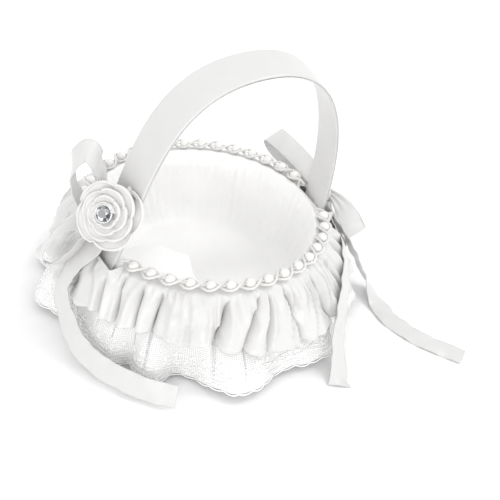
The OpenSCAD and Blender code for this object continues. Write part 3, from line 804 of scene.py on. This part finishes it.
FAR_SHORT_TAIL = faced(
    [[75.6, -17.5, 54.5], [75.9, -22, 48.5], [76.4, -27.5, 43.4], [75.2, -36, 41.4], [72.3, -45.5, 41],
     [65.5, -58.5, 37], [57, -70.5, 32], [47.5, -82.5, 24.5], [41, -91, 16], [37.5, -99, 7.5],
     [35, -104.5, 2.6], [31.5, -110, 0.9]],
    [[0.95, -0.2, 0.3], [0.9, -0.25, 0.4], [0.85, -0.3, 0.4], [0.8, -0.35, 0.4], [0.75, -0.45, 0.4],
     [0.7, -0.6, 0.4], [0.6, -0.7, 0.4], [0.5, -0.75, 0.4], [0.4, -0.85, 0.4], [0.3, -0.85, 0.45],
     [0.2, -0.6, 0.8], [0, 0, 1]])


def make_bows():
    loops = (("near_upper_loop", NEAR_UPPER_LOOP, "near_bow_upper_loop", "near_knot"),
             ("near_side_loop", NEAR_SIDE_LOOP, "near_bow_side_loop", "near_knot"),
             ("far_back_loop", FAR_BACK_LOOP, "far_bow_back_loop", "far_knot"),
             ("far_front_loop", FAR_FRONT_LOOP, "far_bow_front_loop", "far_knot"))
    for name, rows, node, knot in loops:
        obj, length = ribbon(name, rows, pinch=(0.36, 0.36))
        finish_piece(obj, RIBBON_SATIN, stands_for=(node,))
    # Each tail lists its knot, the point as far as which it would stay with the knot, and the point from
    # which it would turn with its joint; none of these is used here, and the tail is given no body and is
    # baked where it lies.
    tails = (("near_tail_ribbon", NEAR_TAIL, "near_tail", "near_knot", (-83, -7, 48), (-91, -6, 33)),
             ("far_long_ribbon", FAR_LONG_TAIL, "far_long_tail", "far_knot",
              (80, -25, 44), (88.5, -35, 30)),
             ("far_short_ribbon", FAR_SHORT_TAIL, "far_short_tail", "far_knot",
              (76, -25, 46), (73.5, -42, 41.5)))
    for name, rows, node, knot, start, end in tails:
        obj, length = ribbon(name, rows, pinch=(0.4, 1), crown=0.7)
        finish_piece(obj, RIBBON_SATIN, body=None, stands_for=(node,))
        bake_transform(obj)


def make_knot(name, centre, axis, up, radii, node):
    """A bow's knot: a band of ribbon wrapped round the gathered loops, with soft pleats."""
    axis, up = unit(axis), unit(up)
    side = np.cross(axis, up)
    w = np.linspace(-1, 1, 33)
    q = np.arange(56) * 2 * np.pi / 56
    fat = (1 - np.abs(w) ** 3.2) ** 0.32
    pleats = 0.07 * np.cos(w * 9 + 1.0)[:, None] * (1 + 0.5 * np.cos(q * 2 + 0.6)) * (1 - w[:, None] ** 2)
    r = np.maximum(0.04, fat[:, None] * (0.93 + pleats))
    points = (np.asarray(centre, float) + axis * (w[:, None] * radii[0] * (1 + 0 * q))[..., None]
              + up * (r * radii[1] * np.cos(q))[..., None] + side * (r * radii[2] * np.sin(q))[..., None])
    finish_piece(lathed(name, points), RIBBON_SATIN, stands_for=(node,))


def make_handle():
    near_x, far_x, top_x = -70.3, 70.6, 14.1
    near_lean, far_lean = math.radians(66.8), math.radians(84.4)
    near_pull, far_pull = 49.6, 34.6
    near_foot = [(-68.9, 28), (-70.1, 37), (-72, 47), (near_x, FOOT_Z)]
    near_side = [(near_x, FOOT_Z),
                 (near_x + near_pull * math.cos(near_lean), FOOT_Z + near_pull * math.sin(near_lean)),
                 (top_x - 63.3, TOP_Z), (top_x, TOP_Z)]
    far_side = [(top_x, TOP_Z), (top_x + 60.6, TOP_Z),
                (far_x + far_pull * math.cos(far_lean), FOOT_Z + far_pull * math.sin(far_lean)),
                (far_x, FOOT_Z)]
    far_foot = [(far_x, FOOT_Z), (70.4, 46.8), (70, 38), (68.9, 28)]
    t = np.linspace(0, 1, 60)
    xz = np.concatenate([bezier(near_foot, t[::3])[:-1], bezier(near_side, t)[:-1],
                         bezier(far_side, t)[:-1], bezier(far_foot, t[::3])])
    # The four curves run from 0 to 6, 28, 50 and 56, the steps that the part's own path is counted in.
    share = np.concatenate([np.linspace(0, 6, 20)[:-1], np.linspace(6, 28, 60)[:-1],
                            np.linspace(28, 50, 60)[:-1], np.linspace(50, 56, 20)])
    y = FOOT_Y + (TOP_Y - FOOT_Y) * np.maximum(0, (xz[:, 1] - FOOT_Z) / (TOP_Z - FOOT_Z))
    rows = np.column_stack([xz[:, 0], y, xz[:, 1], share])
    run = distances(rows[:, :3])
    at = np.linspace(0, run[-1], 330)
    centre = np.column_stack([np.interp(at, run, rows[:, k]) for k in range(3)])
    share = np.interp(at, run, rows[:, 3])
    ahead = unit(np.gradient(centre, axis=0))
    twist = np.radians(0.6 + 11.4 * np.clip((share - 6) / 44, 0, 1)) * np.clip((56 - share) / 6, 0, 1)
    level = np.column_stack([-ahead[:, 2], 0 * share, ahead[:, 0]])
    side = np.array([0, 1, 0]) * np.cos(twist)[:, None] + level * np.sin(twist)[:, None]
    side = unit(side - (side * ahead).sum(1)[:, None] * ahead)
    up = np.cross(ahead, side)
    q = np.linspace(-1, 1, 31)
    # The two ribbons meet at their edges, past the strip between them.
    off = 0.2 + 0.72 * (1 - ease(np.abs(q), 0.935, 0.985))
    soft = 0.05 * np.sin(at / 31)[:, None] * q + 0.04 * np.sin(at / 13 + 1)[:, None] * q**2
    edge = 0.3 * (1 + 0.5 * ease(np.abs(q), 0.95, 0.98))
    for name, sign, node in (("handle_ribbon_outer", 1, "handle_outer_ribbon"),
                             ("handle_ribbon_inner", -1, "handle_inner_ribbon")):
        lift = sign * (off + np.maximum(soft, -0.02))
        grid = centre[:, None] + side[:, None] * (q * HANDLE_W / 2)[:, None] + up[:, None] * lift[..., None]
        uv = flat_map(at[:, None], q * HANDLE_W / 2)
        piece = finish_piece(shell(name, grid, uv, edge), RIBBON_SATIN, stands_for=(node,))


# --- the rose ---
def rose_frame():
    out = unit(ROSE_DIR)
    side = unit(np.cross([0, 0, 1], out))
    return side, np.cross(out, side), out


def on_rose(points):
    side, up, out = rose_frame()
    points = np.asarray(points, float)
    return ROSE_AT + points[..., :1] * side + points[..., 1:2] * up + points[..., 2:3] * out


def rose_turn_at(theta):
    """Radius and height of the rolled edge, theta turns from the bud."""
    # It winds out and down, and is folded over at the corners, where one petal passes under the next.
    share = np.maximum(theta, 0) / 4.1
    corner = np.mod(theta * 4.35 + 0.3, 1)
    petal = np.sin(np.pi * corner) ** 0.6
    r = 5.6 + (ROSE_R - 5.8) * share**1.12 - 1.5 * (1 - petal) * (0.4 + share) + 0.9 * corner * share
    h = 10.4 - 3.8 * share**1.4 + 1.2 * (corner - 0.5) * (0.5 + 0.5 * share)
    # The last of it is turned under.
    under = ease(theta, 3.9, 4.1)
    return r - 2.6 * under, h - 4.5 * under


def rose_roll(name, start, stop, node):
    """Turns of folded ribbon: up the inside, over a soft round edge and down the outside."""
    count = int((stop - start) * 150)
    theta = np.linspace(start, stop, count)
    r, h = rose_turn_at(theta)
    a = 2 * np.pi * theta + 0.7
    lip = 0.62 - 0.1 * np.mod(theta * 4.35 + 0.3, 1)
    inner, _ = rose_turn_at(theta - 1)
    inner = np.where(theta < 1, r * 0.5, inner - 0.6)
    # Rows of (radius, height), first up from the felt to the foot of the petal's face.
    rows = []
    for t in np.linspace(0, 1, 5)[:-1]:
        rows.append((r * 0.4 + (inner - r * 0.4) * t, 1.6 + (h - 2.1 - 1.6) * t))
    # The face of the petal slopes up from the turn inside it to its own edge, a little hollow.
    for t in np.linspace(0, 1, 11):
        rows.append((inner + (r - 2 * lip - inner) * t, h - 2.1 + (2.1 - lip) * (0.45 * t + 0.55 * t**2.2)))
    for phi in np.linspace(0, np.pi, 10)[1:-1]:
        rows.append((r - lip - lip * np.cos(phi), h - lip + lip * np.sin(phi)))
    for t in np.linspace(0, 1, 9):
        rows.append((r - (r * 0.14) * t**1.4, (h - lip) - (h - lip - 2.6) * t))
    section = np.array(rows)
    wave = 0.12 * np.sin(theta * 2 * np.pi * 9 + np.arange(len(rows))[:, None] * 0.4)
    rr = section[:, 0] + wave
    grid = on_rose(np.stack([rr * np.cos(a), rr * np.sin(a), section[:, 1]], -1))
    run = distances(grid[18])
    deep = np.concatenate([[0], np.cumsum(np.linalg.norm(np.diff(grid, axis=0), axis=-1).mean(1))])
    uv = flat_map(run[None, :], deep[:, None])
    piece = finish_piece(shell(name, grid, uv, 0.3), ROSE_SATIN, stands_for=(node,))


def make_rose():
    rose_roll("rose_outer_turns", 1.95, 4.1, "near_rose_outer_petals")
    rose_roll("rose_inner_turns", 0.75, 2.0, "near_rose_inner_petals")
    # The bud under the stone.
    rose_roll("rose_bud", -0.05, 0.8, "near_rose_heart")
    r = np.concatenate([np.linspace(0.3, 8.7, 12), [9.0, 9.1, 9.0], np.linspace(8.7, 0.3, 12)])
    z = np.concatenate([np.full(12, 0.0), [0.2, 0.6, 1.0], np.full(12, 1.2)])
    fuzz = 1 + 0.012 * dice.standard_normal((len(r), 72))
    points = on_rose(around(np.arange(72) * 5.0, r[:, None] * fuzz, z[:, None]))
    felt = finish_piece(lathed("rose_felt", points, flip=True), FELT,
                        stands_for=("near_rose_backing",))


def make_stone():
    # The corners of the table, the star facets, the girdle and the main facets, and the point.
    eighths = np.arange(8) * 45
    points = np.vstack([around(eighths, 2.35, 12.6), around(eighths + 22.5, 3.35, 12.05),
                        around(np.arange(16) * 22.5, STONE_R, 11.3), around(eighths + 22.5, 1.9, 10.3),
                        [[0, 0, 9.85]]])
    faces = [list(range(8))]
    for k in range(8):
        m, before = (k + 1) % 8, (k - 1) % 8
        g = 16 + 2 * k
        beyond = 16 + (2 * k + 2) % 16
        faces += [[k, 8 + k, m], [k, 8 + before, g, 8 + k], [8 + k, g, g + 1], [8 + k, g + 1, beyond]]
        low = 32 + k
        faces += [[g + 1, g, low], [beyond, g + 1, low], [low, g, 32 + before], [low, 32 + before, 40]]
    obj = add_mesh("clear_stone", on_rose(points), faces, smooth=False)
    # Each facet gets a painted reflection: a random value from dark to bright, with the table set in the
    # middle.
    painted_reflection_layer = obj.data.attributes.new("facet", "FLOAT", "FACE")
    painted_glint = dice.permutation(np.linspace(0, 1, len(faces))) ** 1.3
    painted_glint[0] = 0.35
    painted_reflection_layer.data.foreach_set("value", painted_glint.astype(np.float32))
    finish_piece(obj, STONE, stands_for=("near_stone",))
    beads, (bead, bead_faces) = [], ball(8, 10)
    for place in around(np.arange(22) * 360 / 22, 4.62, 11.25):
        beads.append((on_rose(place + bead * 0.5), bead_faces))
    q = np.arange(64) * 360 / 64
    ring = np.array([(4.25, 9.5), (4.75, 9.5), (5.0, 9.9), (5.0, 10.9), (4.7, 11.2), (4.3, 11.2),
                     (4.22, 10.9)])
    wall = around(q, ring[:, :1], ring[:, 1:])
    i, j = np.meshgrid(np.arange(7), np.arange(64), indexing="ij")
    i, j = i.ravel(), j.ravel()
    beside, low, high = (j + 1) % 64, i * 64, (i + 1) % 7 * 64
    faces = np.column_stack([low + j, low + beside, high + beside, high + j])
    beads.append((on_rose(wall.reshape(-1, 3)), faces.tolist()))
    disc = np.concatenate([around(q, 4.4, z) for z in (9.35, 9.6)])
    beads.append((on_rose(disc), [[k, (k + 1) % 64, 64 + (k + 1) % 64, 64 + k] for k in range(64)]
                  + [list(range(64))[::-1], list(range(64, 128))]))
    finish_piece(add_mesh("stone_setting", *joined(beads)), SILVER,
                 stands_for=("near_stone_setting",))


make_lining()
make_bowl_covers()
make_satin_ruffle()
make_lace()
make_trim()
make_handle()
make_bows()
make_knot("near_knot", NEAR_KNOT + unit(NEAR_OUT), [0, 0.9, -0.1], NEAR_OUT, (4.4, 1.9, 4.6),
          "near_bow_knot")
make_knot("far_knot", FAR_KNOT + np.array([1.6, 0, 0]), [0, 1, 0.05], [1, 0, 0], (4.6, 2.4, 5.0),
          "far_bow_knot")
make_rose()
make_stone()

for node, mat in (("base_card", CARD), ("wall_card", CARD), ("handle_core", PLASTIC), ("handle_glue", GLUE),
                  ("pearl_thread", BRAID)):
    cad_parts[node].data.materials.clear()
    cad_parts[node].data.materials.append(mat)

# --- camera, light and floor ---
camera = new_object("camera", bpy.data.cameras.new("camera"))
camera.data.lens = 69.21
camera.data.sensor_width = 36
camera.data.clip_start = 0.01
bpy.context.scene.camera = camera
right, upward = Vector((0.84747, -0.51579, 0.12548)), Vector((0.23346, 0.57444, 0.78455))
turned = Matrix((right, upward, right.cross(upward))).transposed().to_4x4()
camera.matrix_world = Matrix.Translation(Vector((-0.25005, -0.38274, 0.3814))) @ turned


def area_light(name, place, aim, size, power):
    light = new_object(name, bpy.data.lights.new(name, "AREA"))
    light.data.shape = "DISK"
    light.data.size = size
    light.data.energy = power
    light.location = place
    light.rotation_euler = (Vector(aim) - Vector(place)).to_track_quat("-Z", "Y").to_euler()


area_light("key", (0.7, -0.2, 1.3), (0, 0, 0.05), 0.45, 3.6)
area_light("front_fill", (-0.75, -1.2, 0.42), (0, 0, 0.03), 0.7, 5)

world = bpy.data.worlds.new("studio")
world.use_nodes = True
world.node_tree.nodes["Background"].inputs["Color"].default_value = (1, 1, 1, 1)
world.node_tree.nodes["Background"].inputs["Strength"].default_value = 1.08
bpy.context.scene.world = world
bpy.context.scene.view_settings.view_transform = "Standard"

HALF = 4000
corners = [(-HALF, -HALF, -0.2), (HALF, -HALF, -0.2), (HALF, HALF, -0.2), (-HALF, HALF, -0.2)]
floor = add_mesh("floor", corners, [[0, 1, 2, 3]], smooth=False)
floor.data.materials.append(plain("pale_floor", (0.97, 0.97, 0.97), 0.9, 50, 0.02))
